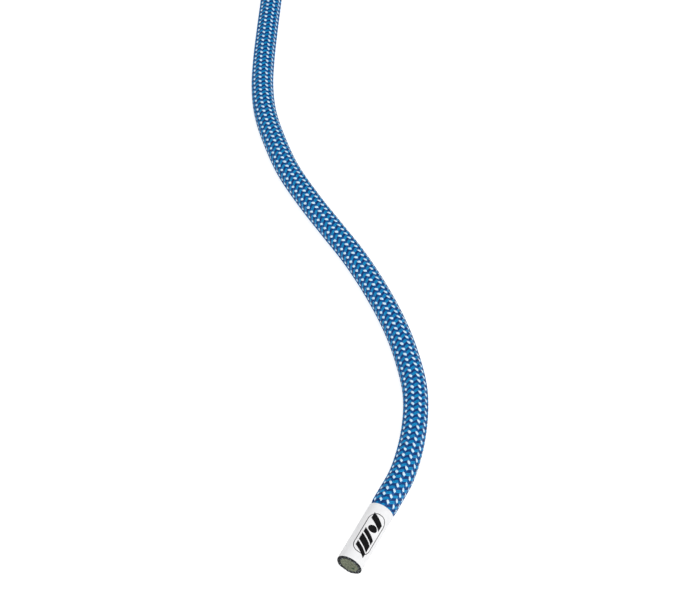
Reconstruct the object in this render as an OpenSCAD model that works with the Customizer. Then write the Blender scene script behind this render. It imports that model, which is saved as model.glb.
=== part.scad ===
// Dynamic climbing rope, kernmantle construction, in millimetres.
// One end of the rope lies loose on a flat surface in an S-shaped curve. The rest of the rope is
// wound into a hank of flat race-track turns, stacked in layers and held by two webbing ties.
// The origin is on the surface, under the middle of the hank's near fold. +Y runs from the loose
// end towards the hank, +X is to the right and +Z is up.

/* [Rope] */
// Diameter of the rope
rope_d = 9.8; // [8.5:0.1:11]
// Thickness of the braided sheath
sheath_wall = 1.2; // [1:0.1:1.4]

/* [Rope ends] */
// Length of the heat-shrunk sleeve on each end
sleeve_len = 25; // [20:1:30]
// Wall of the heat-shrunk sleeve
sleeve_wall = 0.5; // [0.3:0.1:0.8]
// Length of the melted plug at the cut
plug_len = 3; // [2:0.5:5]

/* [Hank] */
// Turns beside each other in one layer
turns = 6; // [4:1:8]
// Layers of turns on each other
layers = 14; // [6:1:16]
// Straight length of each leg between the two folds
leg_len = 187; // [150:1:220]
// Radius of the innermost turn at a fold, as a multiple of the rope's diameter
fold_factor = 3; // [3:0.5:4]
// Distance of the tail's cut face from the start of its leg
tail_gap = 6; // [2:1:10]

/* [Ties] */
// Width of the webbing
tie_w = 25; // [20:1:30]
// Thickness of the webbing
tie_t = 1.5; // [1:0.1:2]
// Distance between the middles of the two ties
tie_spacing = 85; // [70:1:110]
// Length of the overlapping end that closes a tie
tie_overlap = 70; // [50:1:90]

/* [Hidden] */

rope_r = rope_d / 2;
squeezed_r = rope_r - sleeve_wall;
sheath_sides = 12;
strand_sides = 8;
round_fn = 96;
// Half the length over which the sheath widens at the sleeve's end.
step_half = 0.5;
// How far a cutting solid stands out past what it cuts.
over = 1;

// Core: a ring of strands about a few middle ones, all clear of the sheath where it is squeezed.
outer_strands = 9;
inner_strands = 3;
squeezed_wall = 0.9;
gap = 0.1;
clear_r = (squeezed_r - squeezed_wall) * cos(180 / sheath_sides) - gap;
outer_strand_r = clear_r / (1 + 1 / sin(180 / outer_strands)) - gap / 4;
outer_ring_r = clear_r - outer_strand_r;
middle_r = outer_ring_r - outer_strand_r - gap / 4;
inner_strand_r = middle_r / (1 + 1 / sin(180 / inner_strands)) - gap / 4;
inner_ring_r = middle_r - inner_strand_r;

// Hank: radii of the turns at the folds, and where the folds' centres are.
inner_turn_r = fold_factor * rope_d;
outer_turn_r = inner_turn_r + (turns - 1) * rope_d;
slot_r = inner_turn_r - rope_r;
hank_r = outer_turn_r + rope_r;
near_y = (inner_turn_r + outer_turn_r) / 2;
far_y = near_y + leg_len;
hank_h = layers * rope_d;
middle_y = (near_y + far_y) / 2;
tail_z = hank_h - rope_r;
tail_y = near_y + tail_gap;

// The loose end's route along the rope's middle, from the cut face to the hank.
route = [
    [-44, -345, rope_r], [-30, -318, rope_r], [-24, -305, rope_r], [-20, -288, rope_r],
    [-19, -270, rope_r], [-22, -252, rope_r], [-27, -235, rope_r], [-34, -218, rope_r],
    [-42, -202, rope_r], [-51, -187, rope_r], [-60, -172, rope_r], [-69, -155, rope_r],
    [-75, -139, rope_r], [-80, -121, rope_r], [-82, -104, rope_r], [-82, -86, rope_r],
    [-81, -65, rope_r], [-80, -48, rope_r], [-79, -28, rope_r], [-outer_turn_r, -8, rope_r],
    [-outer_turn_r, 12, rope_r], [-outer_turn_r, 33, rope_r], [-outer_turn_r, near_y, rope_r]
];
route_end = len(route) - 1;

// Direction of travel of the loose end at its cut face, and the turn that points +Z along it.
end_way = (route[1] - route[0]) / norm(route[1] - route[0]);
end_heading = atan2(end_way[1], end_way[0]);

// Stations of the sweep: where the plug ends, where the sleeve ends, then the route's own points.
stations = concat(
    [route[0] + end_way * plug_len, route[0] + end_way * (sleeve_len - step_half),
     route[0] + end_way * (sleeve_len + step_half)],
    [for (i = [1 : route_end]) route[i]]
);
last = len(stations) - 1;
// The sheath is squeezed as far as the sleeve's end.
sheath_r = [for (i = [0 : last]) i < 2 ? squeezed_r : rope_r];
bore_r = [for (i = [0 : last]) i < 2 ? squeezed_r - squeezed_wall : rope_r - sheath_wall];

// Direction along the route at station i, level because the rope lies flat.
function way(i) =
    let (d = stations[min(i + 1, last)] - stations[max(i - 1, 0)])
    i < 2 ? end_way : i == last ? [0, 1, 0] : d / norm(d);

// A point of station i, to the side and up from the rope's middle.
function at(i, side, up) =
    let (w = way(i))
    stations[i] + [w[1] * side, -w[0] * side, up];

// A ring of points about a strand whose middle is at radius off and angle turn.
function ring(i, r, sides, off = 0, turn = 0) = [
    for (k = [0 : sides - 1])
        let (a = 360 * (k + 0.5) / sides)
        at(i, off * cos(turn) + r * cos(a), off * sin(turn) + r * sin(a))
];

// Quads that join ring after ring, first is the first ring's first point.
function skin(sides, first = 0, flip = false) = [
    for (i = [0 : last - 1], k = [0 : sides - 1])
        let (
            a = first + i * sides + k,
            b = first + i * sides + (k + 1) % sides
        )
        flip ? [a, a + sides, b + sides, b] : [a, b, b + sides, a + sides]
];

// Ends of a solid sweep.
function caps(sides) = [
    [for (k = [sides - 1 : -1 : 0]) k],
    [for (k = [0 : sides - 1]) last * sides + k]
];

// Ends of a hollow sweep, whose bore's points follow the outer points.
function rims(sides) =
    let (bore = (last + 1) * sides)
    concat(
        [for (k = [0 : sides - 1])
            let (n = (k + 1) % sides)
            [bore + k, bore + n, n, k]],
        [for (k = [0 : sides - 1])
            let (n = (k + 1) % sides, e = last * sides)
            [e + k, e + n, bore + e + n, bore + e + k]]
    );

// One core strand, swept along the whole loose stretch.
module strand(r, off, turn) {
    points = [for (i = [0 : last]) each ring(i, r, strand_sides, off, turn)];
    polyhedron(points, concat(skin(strand_sides), caps(strand_sides)), convexity = 8);
}

module outer_strand(n) {
    strand(outer_strand_r, outer_ring_r, 360 * (n - 0.5) / outer_strands);
}

module inner_strand(n) {
    strand(inner_strand_r, inner_ring_r, 360 * (n - 0.25) / inner_strands);
}

// Core strand n of all, numbered from the outer ring inwards.
module core_strand(n) {
    color("ivory")
    if (n < outer_strands) outer_strand(n);
    else inner_strand(n - outer_strands + 1);
}

// The outer strand that is dyed, so that the rope can be told apart.
module loose_tracer_strand() {
    color("darkgreen") outer_strand(outer_strands);
}

// Braided sheath of the loose stretch, a tube about the core.
module loose_sheath() {
    outside = [for (i = [0 : last]) each ring(i, sheath_r[i], sheath_sides)];
    inside = [for (i = [0 : last]) each ring(i, bore_r[i], sheath_sides)];
    faces = concat(
        skin(sheath_sides),
        skin(sheath_sides, len(outside), true),
        rims(sheath_sides)
    );
    color("royalblue") polyhedron(concat(outside, inside), faces, convexity = 8);
}

// Half-disc ends and a straight middle, as exact curves.
module racetrack_solid(r, h) {
    translate([0, near_y, 0]) cylinder(r = r, h = h, $fn = round_fn);
    translate([0, far_y, 0]) cylinder(r = r, h = h, $fn = round_fn);
    translate([-r, near_y, 0]) cube([2 * r, leg_len, h]);
}

// The wound turns of the rope, as the outer shape of the stack.
module hank() {
    color("royalblue") {
        difference() {
            racetrack_solid(hank_r, hank_h);
            translate([0, 0, -over]) racetrack_solid(slot_r, hank_h + 2 * over);
            // Room for the loose end, which comes off the outermost turn of the lowest layer.
            translate([-hank_r - over, near_y - hank_r, -over])
                cube([rope_d + over, hank_r, rope_d + over]);
            // Room for the tail's sleeve, at the end of the outermost turn of the top layer.
            translate([hank_r - rope_d, near_y - hank_r, hank_h - rope_d])
                cube([rope_d + over, hank_r + tail_gap + sleeve_len, rope_d + over]);
            // Seats pressed into the underside by the ties.
            for (side = [-1, 1])
                translate([-hank_r - over, middle_y + side * tie_spacing / 2 - tie_w / 2, -over])
                    cube([2 * (hank_r + over), tie_w, tie_t + over]);
        }
        // The rope inside the tail's sleeve, as far as the melted plug.
        translate([outer_turn_r, tail_y + plug_len, tail_z])
            rotate([-90, 0, 0])
                cylinder(r = squeezed_r, h = sleeve_len - plug_len, $fn = round_fn);
    }
}

// A webbing tie round both legs, its end laid over its start on top.
module tie(side) {
    y = middle_y + side * tie_spacing / 2 - tie_w / 2;
    color("dimgray") {
        difference() {
            translate([-hank_r - tie_t, y, 0])
                cube([2 * (hank_r + tie_t), tie_w, hank_h + tie_t]);
            translate([-hank_r, y - over, tie_t])
                cube([2 * hank_r, tie_w + 2 * over, hank_h - tie_t]);
        }
        translate([-tie_overlap / 2, y, hank_h + tie_t])
            cube([tie_overlap, tie_w, tie_t]);
    }
}

module tie_near() {
    tie(-1);
}

module tie_far() {
    tie(1);
}

// Heat-shrunk sleeve, standing on its cut face.
module sleeve() {
    color("white")
    difference() {
        cylinder(r = rope_r, h = sleeve_len, $fn = round_fn);
        translate([0, 0, -over])
            cylinder(r = squeezed_r, h = sleeve_len + 2 * over, $fn = round_fn);
    }
}

// Melted plug of sheath and core, standing on its cut face.
module plug() {
    color("darkslategray") cylinder(r = squeezed_r, h = plug_len, $fn = round_fn);
}

// Puts an end's piece on the loose end.
module on_loose_end() {
    translate(route[0]) rotate([0, 90, end_heading]) children();
}

// Puts an end's piece on the tail.
module on_tail() {
    translate([outer_turn_r, tail_y, tail_z]) rotate([-90, 0, 0]) children();
}

module end_sleeve() {
    on_loose_end() sleeve();
}

module end_plug() {
    on_loose_end() plug();
}

module tail_sleeve() {
    on_tail() sleeve();
}

module tail_plug() {
    on_tail() plug();
}

hank();
tie_near();
tie_far();
loose_sheath();
loose_tracer_strand();
for (n = [1 : outer_strands + inner_strands - 1])
    core_strand(n);
end_sleeve();
end_plug();
tail_sleeve();
tail_plug();
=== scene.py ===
import bpy
import math
import numpy as np
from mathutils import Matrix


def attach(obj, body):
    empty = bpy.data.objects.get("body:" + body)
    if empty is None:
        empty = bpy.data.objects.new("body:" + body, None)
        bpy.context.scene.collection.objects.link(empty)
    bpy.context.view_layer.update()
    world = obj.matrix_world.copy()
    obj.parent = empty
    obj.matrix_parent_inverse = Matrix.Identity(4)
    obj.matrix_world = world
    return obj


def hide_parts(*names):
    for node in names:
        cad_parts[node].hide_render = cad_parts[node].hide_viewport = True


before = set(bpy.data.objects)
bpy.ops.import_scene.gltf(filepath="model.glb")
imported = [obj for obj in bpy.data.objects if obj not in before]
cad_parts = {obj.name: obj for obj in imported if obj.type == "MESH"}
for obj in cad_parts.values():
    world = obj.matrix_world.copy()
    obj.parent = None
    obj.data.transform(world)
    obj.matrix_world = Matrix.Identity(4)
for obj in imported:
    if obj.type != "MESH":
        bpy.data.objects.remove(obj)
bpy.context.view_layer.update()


# --- Camera ----------------------------------------------------------------------------------
# The viewer stands over the loose end and looks down at the ground along the rope, towards the
# hank, which lies beyond the upper edge of the view.
MM = 0.001
CAMERA_PLACE = (-43.65 * MM, -663.7 * MM, 537.9 * MM)
CAMERA_DIP = 50.5
camera_data = bpy.data.cameras.new("camera")
camera_data.lens = 90
camera_data.sensor_width = 36
camera = bpy.data.objects.new("camera", camera_data)
camera.location = CAMERA_PLACE
camera.rotation_euler = (math.radians(90 - CAMERA_DIP), 0, 0)
bpy.context.scene.collection.objects.link(camera)
bpy.context.scene.camera = camera


# --- Rope: the line it follows ---------------------------------------------------------------
# A 60 m dynamic rope of polyamide, 9.8 mm thick. One end lies loose in an S-shaped curve on the
# ground. The rest is wound flat, turn beside turn and layer on layer, into a hank with two folds.
ROPE_D = 9.8 * MM
ROPE_R = ROPE_D / 2
HANK_TURNS = 6
HANK_LAYERS = 14
LEG = 187 * MM
FOLD_R = 3 * ROPE_D
OUTER_FOLD_R = FOLD_R + (HANK_TURNS - 1) * ROPE_D
NEAR_Y = (FOLD_R + OUTER_FOLD_R) / 2
FAR_Y = NEAR_Y + LEG
TAIL_GAP = 6 * MM
LEG_STEPS = 8
FOLD_STEPS = 18
# How far a climbing turn bulges, inwards and outwards, past the turn that steps below it.
BULGE_IN = 2 * MM
BULGE_OUT = 3.6 * MM
LOOSE_ROUTE_MM = [
    (-44, -345), (-30, -318), (-24, -305), (-20, -288), (-19, -270), (-22, -252), (-27, -235),
    (-34, -218), (-42, -202), (-51, -187), (-60, -172), (-69, -155), (-75, -139), (-80, -121),
    (-82, -104), (-82, -86), (-81, -65), (-80, -48), (-79, -28), (-78.4, -8), (-78.4, 12),
    (-78.4, 33), (-78.4, 53.9),
]


def smooth_step(t):
    """From 0 to 1 with no kink at either end, as t goes from 0 to 1."""
    t = np.clip(t, 0, 1)
    return t * t * (3 - 2 * t)


def through_points(points, steps):
    """A smooth curve through the points, with that many steps from each to the next."""
    ends = [2 * points[0] - points[1]] + list(points) + [2 * points[-1] - points[-2]]
    curve = []
    for before, start, stop, after in zip(ends, ends[1:], ends[2:], ends[3:]):
        for step in range(steps):
            t = step / steps
            curve.append(
                0.5 * (2 * start + (stop - before) * t
                       + (2 * before - 5 * start + 4 * stop - after) * t ** 2
                       + (3 * start - before - 3 * stop + after) * t ** 3)
            )
    curve.append(points[-1])
    return np.array(curve)


def hank_layer(layer):
    """One layer of turns. Even layers wind inwards and odd layers outwards."""
    inwards = layer % 2 == 0
    step = -ROPE_D if inwards else ROPE_D
    start = OUTER_FOLD_R if inwards else FOLD_R
    bulge = -BULGE_IN if inwards else BULGE_OUT
    height = ROPE_R + layer * ROPE_D
    points = []
    for turn in range(HANK_TURNS):
        last_turn = turn == HANK_TURNS - 1
        tail = last_turn and layer == HANK_LAYERS - 1
        r = start + turn * step
        for i in range(LEG_STEPS):
            points.append((-r, NEAR_Y + LEG * i / LEG_STEPS, height))
        for i in range(FOLD_STEPS):
            angle = math.pi * (1 - i / FOLD_STEPS)
            points.append((r * math.cos(angle), FAR_Y + r * math.sin(angle), height))
        run = LEG - TAIL_GAP if tail else LEG
        for i in range(LEG_STEPS + tail):
            points.append((r, FAR_Y - run * i / LEG_STEPS, height))
        if tail:
            break
        for i in range(FOLD_STEPS):
            share = i / FOLD_STEPS
            moved = float(smooth_step(share))
            # The last turn climbs to the next layer, and the others step one rope aside.
            out = bulge * math.sin(math.pi * share) ** 2 if last_turn else step * moved
            rise = ROPE_D * moved if last_turn else 0
            angle = -math.pi * share
            points.append(((r + out) * math.cos(angle), NEAR_Y + (r + out) * math.sin(angle),
                           height + rise))
    return points


loose_points = [np.array([x * MM, y * MM, ROPE_R]) for x, y in LOOSE_ROUTE_MM]
loose_line = through_points(loose_points, 8)
hank_line = np.array([p for layer in range(HANK_LAYERS) for p in hank_layer(layer)])
rope_line = np.vstack([loose_line[:-1], hank_line])


def along_line(line):
    """Length from the start to each point of the line."""
    return np.concatenate([[0], np.cumsum(np.linalg.norm(np.diff(line, axis=0), axis=1))])


rope_s = along_line(rope_line)
loose_length = along_line(loose_line)[-1]
rope_ahead = np.gradient(rope_line, rope_s, axis=0)
rope_ahead[0] = loose_points[1] - loose_points[0]
rope_ahead /= np.linalg.norm(rope_ahead, axis=1)[:, None]


def rope_frames(s):
    """Middle, direction, right and up of the rope at lengths s from the loose end's cut face."""
    s = np.asarray(s, float)
    middle = np.stack([np.interp(s, rope_s, rope_line[:, k]) for k in range(3)], 1)
    ahead = np.stack([np.interp(s, rope_s, rope_ahead[:, k]) for k in range(3)], 1)
    ahead /= np.linalg.norm(ahead, axis=1)[:, None]
    right = np.cross(ahead, [0, 0, 1.0])
    right /= np.linalg.norm(right, axis=1)[:, None]
    return middle, ahead, right, np.cross(right, ahead)


# --- Body and sheath of the wound rope -------------------------------------------------------
# Forty polyamide yarns, braided round the core over two and under two, twenty turning each way.
# One body runs the rope's whole length, and on the hank each layer has its own length of sheath
# round it, with its yarns drawn by the material in the braid's own measure.
TUBE_SIDES = 16
BRAID_STEP = 0.66 * MM
BRAID_YARNS = 40
BRAID_TURN = math.radians(-20)
# The weave repeats every four crossings. Of those, where a left- and a right-turning yarn is highest.
LEFT_TOP = 0.5
RIGHT_TOP = 2.5
SLEEVE_LENGTH = 25 * MM
SLEEVE_WALL = 0.5 * MM
PLUG_LENGTH = 3 * MM
TIE_SPACING = 85 * MM
# The real yarns of the loose stretch end under the near tie.
YARNS_END = loose_length + LEG / 2 - TIE_SPACING / 2
UNDER_YARNS_R = 4.15 * MM
BODY_R = ROPE_R - 0.25 * MM


def linear(red, green, blue):
    """A colour as light strengths, from the 0 to 255 values a screen shows."""
    return tuple(
        (c / 255 / 12.92 if c <= 10 else ((c / 255 + 0.055) / 1.055) ** 2.4)
        for c in (red, green, blue)
    ) + (1.0,)


WHITE_YARN = linear(232, 251, 255)
MID_YARN = linear(0, 98, 168)
AZURE_YARN = linear(0, 156, 216)
DARK_YARN = linear(0, 70, 140)
GAP_SHADE = linear(0, 22, 60)


def new_mesh(name, points, faces, uvs=None, smooth=True):
    """A mesh object in the scene, from points, quads or triangles, and a UV pair a corner."""
    mesh = bpy.data.meshes.new(name)
    points = np.asarray(points, np.float32)
    corners = np.concatenate([np.asarray(f, np.int32).ravel() for f in faces])
    sizes = np.concatenate([np.full(len(f), np.shape(f)[1], np.int32) for f in faces])
    starts = np.concatenate([[0], np.cumsum(sizes)[:-1]]).astype(np.int32)
    mesh.vertices.add(len(points))
    mesh.vertices.foreach_set("co", points.ravel())
    mesh.loops.add(len(corners))
    mesh.loops.foreach_set("vertex_index", corners)
    mesh.polygons.add(len(sizes))
    mesh.polygons.foreach_set("loop_start", starts)
    mesh.polygons.foreach_set("loop_total", sizes)
    # End faces have more than four corners and are flat.
    mesh.polygons.foreach_set("use_smooth", (sizes <= 4) & smooth)
    if uvs is not None:
        layer = mesh.uv_layers.new(name="measure")
        layer.data.foreach_set("uv", np.asarray(uvs, np.float32).ravel())
    mesh.update(calc_edges=True)
    mesh.validate()
    piece = bpy.data.objects.new(name, mesh)
    bpy.context.scene.collection.objects.link(piece)
    return piece


class Nodes:
    """Short names for putting a material's nodes together."""

    def __init__(self, name):
        self.material = bpy.data.materials.new(name)
        self.material.use_nodes = True
        self.tree = self.material.node_tree
        self.shader = self.tree.nodes["Principled BSDF"]

    def put(self, value, socket):
        if hasattr(value, "is_output"):
            self.tree.links.new(value, socket)
        else:
            socket.default_value = value

    def maths(self, operation, a, b=0.0, c=0.0, clamp=False):
        node = self.tree.nodes.new("ShaderNodeMath")
        node.operation = operation
        node.use_clamp = clamp
        for value, socket in zip((a, b, c), node.inputs):
            self.put(value, socket)
        return node.outputs[0]

    def mix(self, share, a, b):
        node = self.tree.nodes.new("ShaderNodeMix")
        node.data_type = "RGBA"
        self.put(share, node.inputs["Factor"])
        self.put(a, node.inputs["A"])
        self.put(b, node.inputs["B"])
        return node.outputs["Result"]

    def measure(self):
        node = self.tree.nodes.new("ShaderNodeUVMap")
        node.uv_map = "measure"
        parts = self.tree.nodes.new("ShaderNodeSeparateXYZ")
        self.tree.links.new(node.outputs[0], parts.inputs[0])
        return node.outputs[0], parts.outputs[0], parts.outputs[1]

    def place(self, vector, scale):
        node = self.tree.nodes.new("ShaderNodeMapping")
        self.put(vector, node.inputs["Vector"])
        node.inputs["Scale"].default_value = scale
        return node.outputs[0]

    def spots(self, vector, scale, detail=2.0, roughness=0.5):
        node = self.tree.nodes.new("ShaderNodeTexNoise")
        self.put(vector, node.inputs["Vector"])
        node.inputs["Scale"].default_value = scale
        node.inputs["Detail"].default_value = detail
        node.inputs["Roughness"].default_value = roughness
        return node.outputs["Fac"]

    def between(self, value, low, high, to_low=0.0, to_high=1.0):
        node = self.tree.nodes.new("ShaderNodeMapRange")
        self.put(value, node.inputs["Value"])
        for name, number in zip(("From Min", "From Max", "To Min", "To Max"),
                                (low, high, to_low, to_high)):
            node.inputs[name].default_value = number
        return node.outputs["Result"]

    def object_place(self):
        return self.tree.nodes.new("ShaderNodeTexCoord").outputs["Object"]

    def bump(self, height, distance, strength=1.0):
        node = self.tree.nodes.new("ShaderNodeBump")
        node.inputs["Strength"].default_value = strength
        node.inputs["Distance"].default_value = distance
        self.put(height, node.inputs["Height"])
        self.tree.links.new(node.outputs[0], self.shader.inputs["Normal"])

    def finish(self, colour, roughness, **fixed):
        self.put(colour, self.shader.inputs["Base Color"])
        self.put(roughness, self.shader.inputs["Roughness"])
        for name, value in fixed.items():
            self.shader.inputs[name.replace("_", " ")].default_value = value
        return self.material


def braid_material():
    """The sheath drawn in the braid's measure: u counts crossings round, v crossings along."""
    n = Nodes("braided_sheath")
    _, around, along = n.measure()
    # Yarn numbers: left-turning yarns count i, right-turning yarns count j.
    i = n.maths("MULTIPLY", n.maths("ADD", around, along), 0.5)
    j = n.maths("MULTIPLY", n.maths("SUBTRACT", around, along), 0.5)
    i_yarn = n.maths("ROUND", i)
    j_yarn = n.maths("ROUND", j)

    def hump(own, own_yarn, other, top, run_share):
        """Height of a yarn: round across, and rising in one hump at each float's middle."""
        across = n.maths("MULTIPLY", n.maths("SUBTRACT", own, own_yarn), 1.8)
        round_part = n.maths("SQRT", n.maths(
            "SUBTRACT", 1.0, n.maths("MULTIPLY", across, across), clamp=True))
        run = n.maths("ADD", n.maths("ADD", own_yarn, other), 2.0 - top)
        run = n.maths("SUBTRACT", n.maths("FLOORED_MODULO", run, 4.0), 2.0)
        run = n.maths("MINIMUM", n.maths("ABSOLUTE", run), 1 / run_share)
        rise = n.maths("COSINE", n.maths("MULTIPLY", run, 0.5 * math.pi * run_share))
        return n.maths("MULTIPLY", round_part,
                       n.maths("POWER", n.maths("MAXIMUM", rise, 0.0), 0.5))

    # Left-turning yarns rise in short humps, right-turning ones stay up for longer.
    i_height = hump(i, i_yarn, j, LEFT_TOP, 1.05)
    j_height = hump(j, j_yarn, i, RIGHT_TOP, 0.82)
    i_on_top = n.maths("GREATER_THAN", i_height, j_height)
    height = n.maths("MAXIMUM", i_height, j_height)
    i_odd = n.maths("FLOORED_MODULO", i_yarn, 2.0)
    j_odd = n.maths("FLOORED_MODULO", j_yarn, 2.0)
    colour = n.mix(i_on_top, n.mix(j_odd, AZURE_YARN, DARK_YARN),
                   n.mix(i_odd, MID_YARN, WHITE_YARN))
    shade = n.between(height, 0.25, 0.7)
    colour = n.mix(shade, GAP_SHADE, colour)
    wear = n.spots(n.object_place(), 260.0, 3.0)
    colour = n.mix(n.between(wear, 0.35, 0.75, 0.0, 0.16), colour, GAP_SHADE)
    n.bump(height, 0.35 * MM, 0.9)
    return n.finish(colour, n.between(wear, 0.2, 0.8, 0.45, 0.6), Specular_IOR_Level=0.22)


def sweep(sections):
    """Quads that join rings of points, ring after ring, and the two end faces."""
    rings, sides = sections.shape[:2]
    ring, side = np.meshgrid(np.arange(rings - 1), np.arange(sides), indexing="ij")
    a = ring * sides + side
    b = ring * sides + (side + 1) % sides
    quads = np.stack([a, b, b + sides, a + sides], -1).reshape(-1, 4)
    first_end = np.arange(sides)[::-1][None]
    last_end = (rings - 1) * sides + np.arange(sides)[None]
    return [quads, first_end, last_end]


def sweep_uvs(around, along_from, along_to):
    """A UV pair for each corner of a sweep: its measure round the ring, and from ring to ring."""
    quads = np.zeros((len(along_from), len(around) - 1, 4, 2))
    quads[..., 0] = np.stack([around[:-1], around[1:], around[1:], around[:-1]], -1)
    quads[..., 1] = np.stack([along_from, along_from, along_to, along_to], -1)[:, None]
    ends = np.zeros((2 * (len(around) - 1), 2))
    return np.concatenate([quads.reshape(-1, 2), ends])


def rope_tube(name, s, r, material):
    """A tube along the rope, whose UV measure counts the braid's crossings."""
    middle, _, right, up = rope_frames(s)
    turned = 2 * math.pi * np.arange(TUBE_SIDES) / TUBE_SIDES
    rings = middle[:, None] + r[:, None, None] * (np.sin(turned)[None, :, None] * right[:, None]
                                                  + np.cos(turned)[None, :, None] * up[:, None])
    around = (np.arange(TUBE_SIDES + 1) / TUBE_SIDES - BRAID_TURN / (2 * math.pi)) * BRAID_YARNS
    v = s / BRAID_STEP
    # Counted afresh from a whole number of patterns at each ring, so that the numbers stay small.
    fresh = BRAID_YARNS * np.floor(v[:-1] / BRAID_YARNS)
    uvs = sweep_uvs(around, v[:-1] - fresh, v[1:] - fresh)
    tube = new_mesh(name, rings.reshape(-1, 3), sweep(rings), uvs)
    tube.data.materials.append(material)
    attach(tube, "root")
    return tube


def drawn_sheath_r(s, full_r):
    """Radius along the rope: narrower under the real yarns, and under the sleeve of the tail."""
    r = UNDER_YARNS_R + (full_r - UNDER_YARNS_R) * smooth_step((s - YARNS_END) / (4 * MM) + 0.5)
    return r - SLEEVE_WALL * smooth_step((s - tail_sleeve_start) / (1.5 * MM) + 1)


braid = braid_material()
rope_end = rope_s[-1] - PLUG_LENGTH / 2
tail_sleeve_start = rope_s[-1] - SLEEVE_LENGTH
# More rings where the radius changes.
changes = np.concatenate([YARNS_END + np.linspace(-2 * MM, 2 * MM, 5),
                          tail_sleeve_start + np.linspace(-1.5 * MM, 0, 5)])
tube_s = np.unique(np.concatenate([rope_s, changes]))
body_s = tube_s[(tube_s > PLUG_LENGTH - 0.5 * MM) & (tube_s < rope_end)]
rope = rope_tube("rope", body_s, drawn_sheath_r(body_s, BODY_R), braid)
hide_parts("hank", "loose_sheath")

# The sheath of each layer meets the next one's in the middle of a straight leg.
layer_points = len(hank_layer(0))
first_joint = len(loose_line) - 1 + LEG_STEPS // 2
joints = [YARNS_END - 2 * MM]
joints += [rope_s[first_joint + layer * layer_points] for layer in range(1, HANK_LAYERS)]
joints += [rope_end]
for layer, (start, stop) in enumerate(zip(joints, joints[1:])):
    between = tube_s[(tube_s > start + 0.1 * MM) & (tube_s < stop - 0.1 * MM)]
    s = np.concatenate([[start], between, [stop]])
    rope_tube(f"hank_sheath_{layer + 1}", s, drawn_sheath_r(s, ROPE_R), braid)
    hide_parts("hank")


# --- Yarns of the loose stretch --------------------------------------------------------------
# The forty polyamide yarns of the sheath, each a flat bundle of filaments in two plies. A yarn
# runs over two of the yarns that turn the other way and then under two, all the way along.
BLUE_WIDTH = 1.22 * MM
WHITE_WIDTH = 1.08 * MM
YARN_THICKNESS = 0.48 * MM
YARN_SWING = 0.24 * MM
# Yarns that turn right lie a little prouder than those that turn left.
PROUD = 0.05 * MM
YARN_MIDDLE_R = ROPE_R - YARN_THICKNESS / 2 - YARN_SWING - PROUD
# Rings of points in each four crossings.
YARN_SAMPLES = 7
# The loose stretch is twisted by this much in a metre, and is untwisted at this length from its end.
BRAID_TWIST = math.radians(25)
UNTWISTED_AT = 112.5 * MM
yarns_start = SLEEVE_LENGTH - 2 * MM


def yarn_group(numbers, left_turning, width):
    """The yarns of one colour, as one mesh of closed strips that all turn the same way."""
    # Two plies lie side by side in a yarn, so its upper side has a groove along the middle.
    section = np.array([(-1, 0.1), (-0.8, 0.8), (-0.38, 1), (0, 0.62), (0.38, 1), (0.8, 0.8),
                        (1, 0.1), (0, -1)])
    points, faces, uvs = [], [], []
    count = 0
    chance = np.random.default_rng(11 + numbers[0] + 2 * left_turning)
    # Steps along the rope, counted in crossings.
    sample = 4 / YARN_SAMPLES
    first = math.ceil(yarns_start / BRAID_STEP / sample)
    last = math.floor(YARNS_END / BRAID_STEP / sample)
    v = np.arange(first, last + 1) * sample
    s = v * BRAID_STEP
    middle, _, right, up = rope_frames(s)
    squeeze = 1.2 * SLEEVE_WALL * (1 - smooth_step((s - SLEEVE_LENGTH) / (2.4 * MM)))
    for number in numbers:
        # A left-turning yarn i meets j where i - j = v, a right-turning yarn j meets i likewise.
        u = 2 * number - v if left_turning else 2 * number + v
        wave = np.cos(0.5 * math.pi * (u - (LEFT_TOP if left_turning else RIGHT_TOP)))
        # Left-turning yarns rise in short humps, right-turning ones stay up for longer.
        wave = (2 * ((1 + wave) / 2) ** 1.6 - 1 if left_turning
                else 1 - 2 * ((1 - wave) / 2) ** 1.6)
        r = YARN_MIDDLE_R + YARN_SWING * wave - squeeze + (-PROUD if left_turning else PROUD)
        drift = np.sin(v * 0.83 + chance.uniform(0, 6)) + np.sin(v * 1.37 + chance.uniform(0, 6))
        angle = (BRAID_TURN + BRAID_TWIST * (s - UNTWISTED_AT)
                 + (u + 0.03 * drift) * 2 * math.pi / BRAID_YARNS)
        outward = np.sin(angle)[:, None] * right + np.cos(angle)[:, None] * up
        line = middle + r[:, None] * outward
        tangent = np.gradient(line, axis=0)
        tangent /= np.linalg.norm(tangent, axis=1)[:, None]
        across = np.cross(tangent, outward)
        across /= np.linalg.norm(across, axis=1)[:, None]
        raised = np.cross(across, tangent)
        fullness = 1 + 0.05 * np.sin(v * 1.11 + chance.uniform(0, 6))
        wide = width / 2 * fullness * (0.8 + 0.2 * wave)
        thick = YARN_THICKNESS / 2
        rings = (line[:, None]
                 + (wide[:, None] * section[:, 0])[..., None] * across[:, None]
                 + (thick * section[:, 1])[None, :, None] * raised[:, None])
        for quad in sweep(rings):
            faces.append(quad + count)
        count += len(v) * len(section)
        points.append(rings.reshape(-1, 3))
        length = along_line(line) / MM
        uvs.append(sweep_uvs(np.append(section[:, 0], section[0, 0]), length[:-1], length[1:]))
    return points, faces, uvs


def build_yarns(name, numbers, left_turning, width, material):
    """One piece of the loose stretch's sheath: the yarns of one colour."""
    points, faces, uvs = yarn_group(numbers, left_turning, width)
    piece = new_mesh(name, np.concatenate(points), faces, np.concatenate(uvs))
    piece.data.materials.append(material)
    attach(piece, "root")
    return piece


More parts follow.
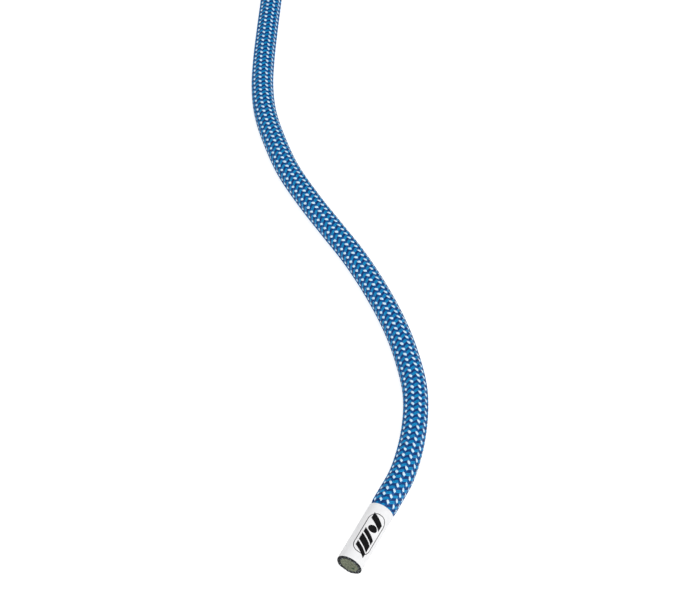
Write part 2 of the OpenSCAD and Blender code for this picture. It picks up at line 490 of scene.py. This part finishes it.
def yarn_material(name, colour, shade, groove_shade=0.8):
    """Bundled polyamide filaments: fine lines along the yarn, a soft shine, a little soil."""
    n = Nodes(name)
    vector, across, _ = n.measure()
    filaments = n.spots(n.place(vector, (9.0, 0.7, 1.0)), 1.0, 2.0)
    patches = n.spots(n.object_place(), 420.0, 2.0)
    # Painted shade along the groove between the two plies.
    groove = n.between(n.maths("ABSOLUTE", across), 0.03, 0.24, groove_shade, 0.0)
    tone = n.mix(n.between(filaments, 0.38, 0.66, 0.0, 0.7), colour, shade)
    tone = n.mix(groove, tone, shade)
    tone = n.mix(n.between(patches, 0.45, 0.75, 0.0, 0.3), tone, shade)
    n.bump(filaments, 0.05 * MM, 0.6)
    return n.finish(tone, n.between(patches, 0.3, 0.7, 0.38, 0.55), Specular_IOR_Level=0.22)


evens, odds = range(0, 20, 2), range(1, 20, 2)
yarns = [
    build_yarns("white_yarns", odds, True, WHITE_WIDTH,
                yarn_material("white_yarn", WHITE_YARN, linear(172, 216, 255), 0.25)),
    build_yarns("blue_yarns", evens, True, BLUE_WIDTH,
                yarn_material("blue_yarn", MID_YARN, linear(0, 52, 112))),
    build_yarns("azure_yarns", evens, False, BLUE_WIDTH,
                yarn_material("azure_yarn", AZURE_YARN, linear(0, 88, 150))),
    build_yarns("dark_yarns", odds, False, BLUE_WIDTH,
                yarn_material("dark_yarn", DARK_YARN, linear(0, 30, 80))),
]


# --- Core strands ----------------------------------------------------------------------------
# Twisted polyamide strands inside the sheath, one of them dyed green as a tracer. They lie side
# by side in the core and keep their own solids of the frame, which the sheath hides.
def strand_material(name, colour, shade):
    """Dull twisted filaments."""
    n = Nodes(name)
    twist = n.spots(n.object_place(), 900.0, 2.0)
    n.bump(twist, 0.1 * MM, 0.5)
    return n.finish(n.mix(n.between(twist, 0.3, 0.7), colour, shade), 0.7)


undyed = strand_material("undyed_strand", linear(236, 234, 224), linear(205, 202, 190))
dyed = strand_material("dyed_strand", linear(20, 92, 60), linear(10, 62, 40))
for name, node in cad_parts.items():
    if "strand" in name:
        node.data.materials.clear()
        node.data.materials.append(dyed if "tracer" in name else undyed)


# --- End sleeves -----------------------------------------------------------------------------
# A short tube of glossy white plastic, shrunk hot over each end of the rope so that the sheath
# can't fray. It carries a plain printed mark: an oval outline round slanted bars and a dot.
SLEEVE_SIDES = 72
LIP_R = 0.16 * MM
CUT_LIP_R = 0.14 * MM
CUT_BACK = 0.3 * MM
INK_LIFT = 0.015 * MM
INK_THICKNESS = 0.02 * MM
# The mark, in millimetres. Of each bar, where it begins along the sleeve and how wide it is. Of
# the dot and the outline, the middle, half the length and half the width. Of the outline also
# the corners' radius and the line's width.
BARS_MM = [(4.6, 1.9), (7.1, 2.9), (10.6, 1.9), (16.8, 2.7)]
DOT_MM = (14.7, 1.4, 1.8)
OUTLINE_MM = (12.5, 8.6, 3.6, 3.3, 0.26)
BAR_REACH_MM = 2.45
BAR_LEAN = -0.62


def sleeve_material():
    """Glossy white plastic, a little uneven."""
    n = Nodes("shrunk_sleeve")
    place = n.object_place()
    soft = n.spots(place, 340.0, 1.0)
    fine = n.spots(place, 2600.0, 2.0)
    tone = n.mix(n.between(soft, 0.35, 0.7, 0.0, 0.5), linear(237, 237, 238), linear(226, 226, 228))
    n.bump(n.maths("ADD", soft, n.maths("MULTIPLY", fine, 0.03)), 0.12 * MM, 0.3)
    return n.finish(tone, n.between(fine, 0.3, 0.7, 0.28, 0.38), Specular_IOR_Level=0.3)


def ink_material():
    """Black ink with slight wear."""
    n = Nodes("printed_ink")
    worn = n.spots(n.object_place(), 2200.0, 3.0)
    tone = n.mix(n.between(worn, 0.4, 0.75), linear(6, 6, 7), linear(24, 24, 26))
    return n.finish(tone, n.between(worn, 0.3, 0.7, 0.4, 0.55), Specular_IOR_Level=0.12)


def end_points(start, heading, along, angle, r):
    """Points at a length along an end, an angle from its top towards its right, and a radius."""
    right = np.cross(heading, [0, 0, 1.0])
    up = np.array([0, 0, 1.0])
    along, angle, r = np.broadcast_arrays(along, angle, r)
    return (start + along[..., None] * heading
            + (r * np.sin(angle))[..., None] * right + (r * np.cos(angle))[..., None] * up)


def build_sleeve(name, start, heading, material, node):
    """A tube with rounded lips, turned about the rope's line."""
    inner = ROPE_R - SLEEVE_WALL
    # The cut leaves the lip slanting back, behind the melted face.
    profile = [(0.75 * MM, inner), (CUT_BACK, ROPE_R - CUT_LIP_R)]
    profile += [(CUT_BACK + CUT_LIP_R * (1 - math.cos(a)), ROPE_R - CUT_LIP_R * (1 - math.sin(a)))
                for a in np.radians([45, 90])]
    profile += [(SLEEVE_LENGTH * k / 20, ROPE_R) for k in range(1, 20)]
    profile += [(SLEEVE_LENGTH - LIP_R * (1 - math.sin(a)), ROPE_R - LIP_R + LIP_R * math.cos(a))
                for a in np.radians([0, 30, 60, 90])]
    profile += [(SLEEVE_LENGTH, inner + 0.05 * MM), (SLEEVE_LENGTH - MM, inner),
                (SLEEVE_LENGTH / 2, inner)]
    profile = np.array(profile)
    angle = 2 * math.pi * np.arange(SLEEVE_SIDES) / SLEEVE_SIDES
    # The sleeve takes up a little of the braid's waviness beneath it.
    wave = 0.03 * MM * np.cos(10 * angle[:, None] + profile[None, :, 0] / (2 * MM))
    outside = profile[None, :, 1] > ROPE_R - LIP_R / 2
    points = end_points(start, heading, profile[None, :, 0], angle[:, None],
                        profile[None, :, 1] - np.abs(wave) * outside)
    a, b = np.meshgrid(np.arange(SLEEVE_SIDES), np.arange(len(profile)), indexing="ij")
    size = len(profile)
    here = a * size + b
    beyond = ((a + 1) % SLEEVE_SIDES) * size
    quads = np.stack([here, beyond + b, beyond + (b + 1) % size, a * size + (b + 1) % size],
                     -1).reshape(-1, 4)
    piece = new_mesh(name, points.reshape(-1, 3), [quads])
    piece.data.materials.append(material)
    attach(piece, "root")
    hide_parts(node)
    return piece


def on_sleeve(flat_mm, start, heading, top):
    """Points of the mark, given along and across in millimetres, laid on the sleeve."""
    flat = np.asarray(flat_mm, float)
    return end_points(start, heading, flat[..., 0] * MM, top + flat[..., 1] * MM / ROPE_R,
                      ROPE_R + INK_LIFT)


def grid_quads(rows, columns, closed):
    """Quads between rows of points. In a closed shape the last column meets the first."""
    r, c = np.meshgrid(np.arange(rows - 1), np.arange(columns - (not closed)), indexing="ij")
    here = r * columns + c
    beyond = r * columns + (c + 1) % columns
    return np.stack([here, here + columns, beyond + columns, beyond], -1).reshape(-1, 4)


def slanted_bar(begin, width):
    """A grid of points over one leaning bar of the mark."""
    across = np.linspace(-BAR_REACH_MM, BAR_REACH_MM, 19)
    return np.array([[(begin + share * width + BAR_LEAN * b, b) for b in across]
                     for share in (0, 1)])


def dot(middle, half_length, half_width):
    """Rings of points over a round dot of the mark."""
    turned = np.linspace(0, 2 * math.pi, 28, endpoint=False)
    return np.array([[(middle + share * half_length * math.cos(a), share * half_width * math.sin(a))
                      for a in turned] for share in (0.002, 0.35, 0.7, 1.0)])


def oval_ring(middle, half_length, half_width, corner, line):
    """The mark's outline, a thin closed line with round ends."""
    points = []
    for quarter, (side_a, side_b) in enumerate([(1, 1), (-1, 1), (-1, -1), (1, -1)]):
        for a in np.radians(np.linspace(0, 90, 12)) + quarter * math.pi / 2:
            points.append([(middle + side_a * (half_length - corner) + r * math.cos(a),
                            side_b * (half_width - corner) + r * math.sin(a))
                           for r in (corner, corner - line)])
    return np.array(points).transpose(1, 0, 2)


def build_print(name, start, heading, top, material):
    """The mark as one thin film of ink, its middle an angle from the top of the sleeve."""
    shapes = [(slanted_bar(*bar), False) for bar in BARS_MM]
    shapes += [(dot(*DOT_MM), True), (oval_ring(*OUTLINE_MM), True)]
    points, faces, count = [], [], 0
    for shape, closed in shapes:
        points.append(on_sleeve(shape, start, heading, top).reshape(-1, 3))
        faces.append(grid_quads(*shape.shape[:2], closed) + count)
        count += shape.shape[0] * shape.shape[1]
    piece = new_mesh(name, np.concatenate(points), faces, smooth=False)
    film = piece.modifiers.new("film", "SOLIDIFY")
    film.thickness = INK_THICKNESS
    film.offset = 0
    piece.data.materials.append(material)
    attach(piece, "root")
    return piece


end_start = loose_points[0]
end_heading = rope_ahead[0]
tail_end = rope_line[-1]
tail_heading = np.array([0.0, 1.0, 0.0])
sleeve_plastic = sleeve_material()
ink = ink_material()
end_sleeve = build_sleeve("end_sleeve_shell", end_start, end_heading, sleeve_plastic, "end_sleeve")
tail_sleeve = build_sleeve("tail_sleeve_shell", tail_end, tail_heading, sleeve_plastic,
                           "tail_sleeve")
end_print = build_print("end_sleeve_print", end_start, end_heading, math.radians(22), ink)
tail_print = build_print("tail_sleeve_print", tail_end, tail_heading, 0.0, ink)


# --- Melted plugs ----------------------------------------------------------------------------
# Each end is cut with a hot knife, which melts sheath and core into one hard plug. Its face
# shows a dark broken ring of sheath yarns round the grey-olive core with its strands.
PLUG_RINGS = 14
PLUG_SIDES = 64
LUMP_HEIGHT = 0.03 * MM
RIM_DIP = 0.12 * MM


def plug_material():
    """Melted polyamide: a mottled core with the tracer's spot, and a dark rim with pale marks."""
    n = Nodes("melted_plug")
    vector, x, y = n.measure()
    r = n.maths("SQRT", n.maths("ADD", n.maths("MULTIPLY", x, x), n.maths("MULTIPLY", y, y)))
    blobs = n.spots(vector, 1.1, 1.0)
    grit = n.spots(vector, 5.0, 3.0)
    core = n.mix(n.between(blobs, 0.35, 0.65), linear(84, 90, 75), linear(129, 134, 111))
    core = n.mix(n.between(grit, 0.45, 0.8, 0.0, 0.5), core, linear(88, 96, 84))
    tracer = n.maths("ADD", n.maths("POWER", n.maths("SUBTRACT", x, 1.5), 2.0),
                     n.maths("POWER", n.maths("ADD", y, 1.2), 2.0))
    core = n.mix(n.between(tracer, 0.15, 0.6, 0.85, 0.0), core, linear(26, 64, 40))
    marks = n.spots(vector, 1.5, 1.0)
    rim = n.mix(n.between(marks, 0.58, 0.64), linear(2, 4, 6), linear(168, 178, 184))
    rim = n.mix(n.between(grit, 0.35, 0.6), linear(2, 4, 6), rim)
    edge = n.between(n.maths("ADD", r, n.maths("MULTIPLY", grit, 0.9)), 3.75, 3.95)
    n.bump(n.maths("ADD", grit, blobs), 0.15 * MM, 0.5)
    return n.finish(n.mix(edge, core, rim), n.between(grit, 0.3, 0.7, 0.5, 0.7),
                    Specular_IOR_Level=0.15)


def build_plug(name, start, heading, material, node, seed):
    """A short solid whose cut face is slightly lumpy, with small dips along its rim."""
    rings, sides = PLUG_RINGS, PLUG_SIDES
    chance = np.random.default_rng(seed)
    phases = chance.uniform(0, 2 * math.pi, 8)
    angle = 2 * math.pi * np.arange(sides) / sides
    r = (ROPE_R - 0.1 * MM) * np.linspace(0, 1, rings + 1)[1:]
    lumps = LUMP_HEIGHT * sum(
        np.cos((k + 2) * angle[None, :] + phases[k])
        * np.sin((k + 3) * r[:, None] / MM / 2 + phases[-k])
        for k in range(6)
    )
    # Each pair of crossing yarns leaves a dip in the rim.
    rim_dips = RIM_DIP * np.clip(np.cos(BRAID_YARNS / 2 * angle + phases[0]), 0, 1)[None, :] ** 2
    rim_share = smooth_step((r[:, None] / MM - 3.9) / 0.4)
    depth = np.maximum(0.12 * MM + lumps + rim_dips * rim_share, 0.02 * MM)
    face_points = end_points(start, heading, depth, angle[None, :], r[:, None])
    centre = end_points(start, heading, 0.1 * MM, 0.0, 0.0)[None]
    # Behind its face the plug narrows to fit inside the sleeve.
    behind = [(0.42 * MM, ROPE_R - CUT_LIP_R), (0.9 * MM, ROPE_R - SLEEVE_WALL),
              (PLUG_LENGTH, ROPE_R - SLEEVE_WALL)]
    back = np.concatenate([end_points(start, heading, x, angle, y) for x, y in behind])
    points = np.concatenate([centre, face_points.reshape(-1, 3), back])
    rings += len(behind) - 1
    k = np.arange(sides)
    following = (k + 1) % sides
    fan = np.stack([np.zeros(sides, int), 1 + following, 1 + k], -1)
    ring, side = np.meshgrid(np.arange(rings), k, indexing="ij")
    a = 1 + ring * sides + side
    b = 1 + ring * sides + (side + 1) % sides
    quads = np.stack([a, b, b + sides, a + sides], -1).reshape(-1, 4)
    end = (1 + rings * sides + k)[None]
    # Flat measure across the face, in millimetres, to the right and up.
    reach = np.concatenate([r, np.full(len(behind), ROPE_R)])[:, None] / MM
    flat = np.zeros((len(points), 2))
    flat[1:, 0] = (reach * np.sin(angle)).ravel()
    flat[1:, 1] = (reach * np.cos(angle)).ravel()
    order = np.concatenate([fan.ravel(), quads.ravel(), end.ravel()])
    piece = new_mesh(name, points, [fan, quads, end], flat[order])
    piece.data.materials.append(material)
    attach(piece, "root")
    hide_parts(node)
    return piece


melted = plug_material()
end_plug = build_plug("end_plug_face", end_start, end_heading, melted, "end_plug", 3)
tail_plug = build_plug("tail_plug_face", tail_end, tail_heading, melted, "tail_plug", 5)


# --- Webbing ties ----------------------------------------------------------------------------
# Two flat straps of woven polyamide webbing go round both legs of the hank. Each passes under, up
# the sides and over the top, where its end lies on its start and is closed on it.
TIE_WIDTH = 25 * MM
TIE_THICKNESS = 1.5 * MM
TIE_EDGE = 0.4 * MM
TIE_OVERLAP = 69 * MM
TIE_START = 34 * MM
# Above and below the hank the strap is straight this far from the middle.
TIE_FLAT = 70 * MM
HANK_HEIGHT = HANK_LAYERS * ROPE_D


def webbing_material():
    """Dark ribbed weave with painted shade in its low places, and a little fluff."""
    n = Nodes("woven_webbing")
    _, across, along = n.measure()
    # Ribs across the strap every 1.2 mm, and warp ends side by side every 0.9 mm.
    rib = n.maths("SINE", n.maths("MULTIPLY", along, 2 * math.pi / 1.2))
    warp = n.maths("SINE", n.maths("MULTIPLY", across, 2 * math.pi / 0.9))
    weave = n.maths("MULTIPLY", rib, warp)
    height = n.maths("ADD", n.maths("MULTIPLY", weave, 0.6), n.maths("MULTIPLY", warp, 0.4))
    fluff = n.spots(n.object_place(), 900.0, 3.0)
    # Painted shade: the weave is darker in its low places and lighter on its raised ones.
    tone = n.mix(n.between(height, -0.8, 0.8), linear(20, 22, 26), linear(52, 56, 62))
    tone = n.mix(n.between(fluff, 0.5, 0.8, 0.0, 0.4), tone, linear(84, 88, 94))
    n.bump(height, 0.2 * MM, 0.8)
    return n.finish(tone, n.between(fluff, 0.3, 0.7, 0.75, 0.9), Sheen_Weight=0.2,
                    Sheen_Roughness=0.6, Specular_IOR_Level=0.3)


def tie_line():
    """The strap's middle line in the plane across the hank, from its start on top of the hank."""
    half = TIE_THICKNESS / 2
    side_x = OUTER_FOLD_R
    arc_r = ROPE_R + half
    top = HANK_HEIGHT + half
    quarter = np.radians(np.linspace(0, 90, 9))
    points = [(x, top) for x in np.linspace(TIE_START, -TIE_FLAT, 12)]
    points += [(-side_x - arc_r * math.sin(a), HANK_HEIGHT - ROPE_R + arc_r * math.cos(a))
               for a in quarter]
    points += [(-side_x - arc_r, z) for z in np.linspace(HANK_HEIGHT - ROPE_D, ROPE_D, 8)]
    points += [(-side_x - arc_r * math.cos(a), arc_r - arc_r * math.sin(a) + half)
               for a in quarter]
    points += [(x, half) for x in np.linspace(-TIE_FLAT, TIE_FLAT, 12)]
    points += [(side_x + arc_r * math.sin(a), arc_r - arc_r * math.cos(a) + half)
               for a in quarter]
    points += [(side_x + arc_r, z) for z in np.linspace(ROPE_D, HANK_HEIGHT - ROPE_D, 8)]
    points += [(side_x + arc_r * math.cos(a), HANK_HEIGHT - ROPE_R + arc_r * math.sin(a))
               for a in quarter]
    # The end climbs one thickness over 10 mm, on to the strap's start.
    points += [(x, top + TIE_THICKNESS * float(smooth_step((TIE_START + 12 * MM - x) / (10 * MM))))
               for x in np.linspace(TIE_FLAT, TIE_START - TIE_OVERLAP, 36)]
    return np.array(points)


def build_tie(name, middle_y, material, node):
    """A strap with softened edges along the line, across the hank at one place."""
    line = tie_line()
    tangent = np.gradient(line, axis=0)
    tangent /= np.linalg.norm(tangent, axis=1)[:, None]
    normal = np.stack([tangent[:, 1], -tangent[:, 0]], 1)
    half_w, half_t, edge = TIE_WIDTH / 2, TIE_THICKNESS / 2, TIE_EDGE
    section = [(-half_w, -half_t + edge), (-half_w, half_t - edge), (-half_w + edge, half_t)]
    section += [(x * MM, half_t) for x in np.linspace(-11, 11, 9)]
    section += [(half_w - edge, half_t), (half_w, half_t - edge), (half_w, -half_t + edge),
                (half_w - edge, -half_t)]
    section += [(x * MM, -half_t) for x in np.linspace(11, -11, 9)]
    section += [(-half_w + edge, -half_t)]
    section = np.array(section)
    rings = np.zeros((len(line), len(section), 3))
    rings[..., 0] = line[:, None, 0] + normal[:, None, 0] * section[None, :, 1]
    rings[..., 1] = middle_y + section[None, :, 0]
    rings[..., 2] = line[:, None, 1] + normal[:, None, 1] * section[None, :, 1]
    length = along_line(line) / MM
    uvs = sweep_uvs(np.append(section[:, 0], section[0, 0]) / MM, length[:-1], length[1:])
    piece = new_mesh(name, rings.reshape(-1, 3), sweep(rings), uvs)
    piece.data.materials.append(material)
    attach(piece, "root")
    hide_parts(node)
    return piece


webbing = webbing_material()
hank_middle = (NEAR_Y + FAR_Y) / 2
build_tie("near_tie_strap", hank_middle - TIE_SPACING / 2, webbing, "tie_near")
build_tie("far_tie_strap", hank_middle + TIE_SPACING / 2, webbing, "tie_far")


# --- Ground and light ------------------------------------------------------------------------
# A plain pale floor, a wide soft lamp high over the viewer's right shoulder and a much weaker one
# over the left.
FLOOR_REACH = 4
LAMP_AIM = (-0.04, -0.2, 0)
LAMP_SIZE = 0.8
floor_mesh = bpy.data.meshes.new("floor")
floor_corners = [(x * FLOOR_REACH, y * FLOOR_REACH, 0)
                 for x, y in ((-1, -1), (1, -1), (1, 1), (-1, 1))]
floor_mesh.from_pydata(floor_corners, [], [(0, 1, 2, 3)])
floor = bpy.data.objects.new("floor", floor_mesh)
bpy.context.scene.collection.objects.link(floor)
paper = Nodes("pale_floor")
grain = paper.spots(paper.object_place(), 30.0, 2.0)
floor_tone = paper.mix(grain, linear(176, 176, 176), linear(170, 170, 170))
floor.data.materials.append(paper.finish(floor_tone, 0.9, Specular_IOR_Level=0.1,
                                         Emission_Color=(1, 1, 1, 1), Emission_Strength=0.8))

world = bpy.data.worlds.new("studio")
world.use_nodes = True
world.node_tree.nodes["Background"].inputs["Color"].default_value = (1, 1, 1, 1)
world.node_tree.nodes["Background"].inputs["Strength"].default_value = 0.42
bpy.context.scene.world = world


def soft_lamp(name, place, power):
    """A square lamp that faces the rope's loose stretch."""
    lamp_data = bpy.data.lights.new(name, "AREA")
    lamp_data.size = LAMP_SIZE
    lamp_data.energy = power
    lamp = bpy.data.objects.new(name, lamp_data)
    lamp.location = place
    towards = np.array(LAMP_AIM, float) - np.array(place, float)
    flat_length = math.hypot(towards[0], towards[1])
    lamp.rotation_euler = (math.atan2(flat_length, -towards[2]), 0,
                           math.atan2(towards[1], towards[0]) - math.pi / 2)
    bpy.context.scene.collection.objects.link(lamp)


soft_lamp("right_lamp", (0.4, -0.9, 1.5), 18)
soft_lamp("left_lamp", (-0.9, -0.8, 1.3), 3)
bpy.context.scene.view_settings.view_transform = "Standard"
